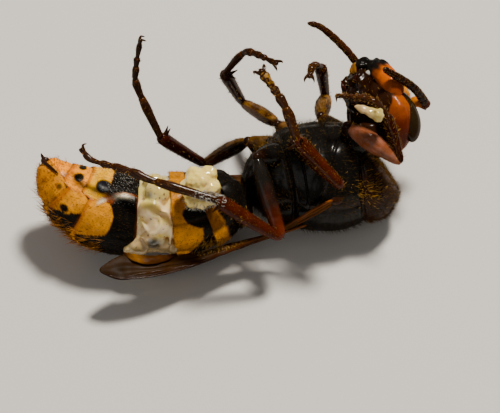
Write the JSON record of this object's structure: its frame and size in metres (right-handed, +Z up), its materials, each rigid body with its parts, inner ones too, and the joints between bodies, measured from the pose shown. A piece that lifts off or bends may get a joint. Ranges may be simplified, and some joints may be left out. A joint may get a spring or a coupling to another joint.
{
  "type": "dead european hornet",
  "caption": "Life-size dead European hornet lying on its back and right side with folded legs, raised feet, one spread wing and a torn abdomen with pale tissue; a still display model.",
  "frame": {"origin": "middle of the base of the bounding box, on the surface it lies on", "axes": "+X from the tip of the abdomen towards the head, +Y away from the viewer, towards the far legs, +Z up"},
  "size_m": [0.0342, 0.023, 0.0156],
  "materials": {
    "black_cuticle": "glossy black shell with fine pits and sparse golden hair",
    "red_brown_cuticle": "dark red-brown shell, satin, worn lighter along edges",
    "orange_cuticle": "orange-brown head shell, satin, finely pitted",
    "yellow_cuticle": "warm yellow shell with black marks, satin, finely pitted and hairy",
    "compound_eye": "dull olive-brown eye with fine facets",
    "wing_membrane": "smoky brown translucent membrane with darker veins",
    "pale_tissue": "moist greenish cream soft tissue"
  },
  "bodies": {
    "root": {"abdomen_1": "black_cuticle", "abdomen_2": "black_cuticle", "abdomen_3": "yellow_cuticle", "abdomen_4": "yellow_cuticle", "abdomen_5": "yellow_cuticle", "abdomen_6": "yellow_cuticle", "eye_left": "compound_eye", "eye_right": "compound_eye", "flagellum_left": "red_brown_cuticle", "flagellum_right": "red_brown_cuticle", "forewing_left": "wing_membrane", "forewing_right": "wing_membrane", "head": "orange_cuticle", "hindwing_left": "wing_membrane", "hindwing_right": "wing_membrane", "left_fore_coxa": "black_cuticle", "left_fore_femur": "red_brown_cuticle", "left_fore_tarsus": "red_brown_cuticle", "left_fore_tibia": "red_brown_cuticle", "left_hind_coxa": "black_cuticle", "left_hind_femur": "red_brown_cuticle", "left_hind_tarsus": "red_brown_cuticle", "left_hind_tibia": "red_brown_cuticle", "left_mid_coxa": "black_cuticle", "left_mid_femur": "red_brown_cuticle", "left_mid_tarsus": "red_brown_cuticle", "left_mid_tibia": "red_brown_cuticle", "mandible_left": "orange_cuticle", "mandible_right": "orange_cuticle", "mesothorax": "black_cuticle", "mouthparts": "red_brown_cuticle", "pronotum": "black_cuticle", "propodeum": "black_cuticle", "right_fore_coxa": "black_cuticle", "right_fore_femur": "red_brown_cuticle", "right_fore_tarsus": "red_brown_cuticle", "right_fore_tibia": "red_brown_cuticle", "right_hind_coxa": "black_cuticle", "right_hind_femur": "red_brown_cuticle", "right_hind_tarsus": "red_brown_cuticle", "right_hind_tibia": "red_brown_cuticle", "right_mid_coxa": "black_cuticle", "right_mid_femur": "red_brown_cuticle", "right_mid_tarsus": "red_brown_cuticle", "right_mid_tibia": "red_brown_cuticle", "scape_left": "orange_cuticle", "scape_right": "orange_cuticle", "sting": "red_brown_cuticle", "tissue_fore_leg": "pale_tissue", "tissue_hind_leg": "pale_tissue", "tissue_tear": "pale_tissue"}
  },
  "joints": []
}
